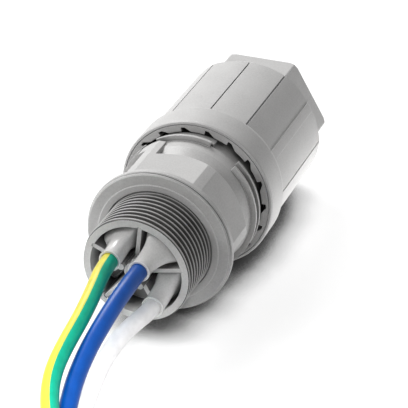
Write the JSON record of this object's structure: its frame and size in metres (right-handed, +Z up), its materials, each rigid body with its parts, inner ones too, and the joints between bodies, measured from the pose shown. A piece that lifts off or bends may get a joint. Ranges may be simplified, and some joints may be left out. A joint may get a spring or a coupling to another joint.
{
  "type": "panel feed-through connector",
  "caption": "Threaded panel feed-through connector with insulation-displacement contacts, a ratchet union nut and coloured leads.",
  "frame": {"origin": "centre of the gasket's sealing plane on the connector's axis", "axes": "+Y along the connector's axis from the panel thread to the cable entry, +Z up as it lies on the union nut"},
  "size_m": [0.0546, 0.1871, 0.0368],
  "materials": {
    "grey_housing": "satin",
    "grey_nut": "satin",
    "grey_insert": "matte",
    "grey_boot": "matte",
    "grey_seal": "matte",
    "dark_carrier": "matte",
    "contact_brass": "bright",
    "lead_earth": "smooth",
    "lead_neutral": "smooth",
    "lead_line": "smooth"
  },
  "bodies": {
    "base": {"panel_base": "grey_housing", "chamber_insert": "grey_insert", "flange_gasket": "grey_seal", "housing_seal": "grey_seal", "contact_carrier": "dark_carrier", "blank_plug_left": "grey_boot", "blank_plug_low": "grey_boot", "lead_boot_earth": "grey_boot", "lead_earth": "lead_earth", "lead_coil_earth": "lead_earth", "lead_boot_neutral": "grey_boot", "lead_neutral": "lead_neutral", "lead_coil_neutral": "lead_neutral", "lead_boot_line": "grey_boot", "lead_line": "lead_line", "lead_coil_line": "lead_line", "contact_1": "contact_brass", "contact_2": "contact_brass", "contact_3": "contact_brass", "contact_4": "contact_brass", "contact_5": "contact_brass"},
    "splice": {"splice_ring": "dark_carrier", "cable_seal": "grey_seal", "clamping_ring": "grey_insert"},
    "nut": {"union_nut": "grey_nut"}
  },
  "joints": [
    {"name": "splice_slide", "type": "slide", "parent": "base", "child": "splice", "axis": [0, 1, 0], "range_m": [-0.00225, 0.0075]},
    {"name": "nut_turn", "type": "hinge", "parent": "splice", "child": "nut", "pos_m": [0, 0.045, 0], "axis": [0, 1, 0], "range_deg": [-135, 450]}
  ],
  "couplings": [
    {"joint": "splice_slide", "follows": "nut_turn", "m_per_rad": 0.00095493}
  ]
}
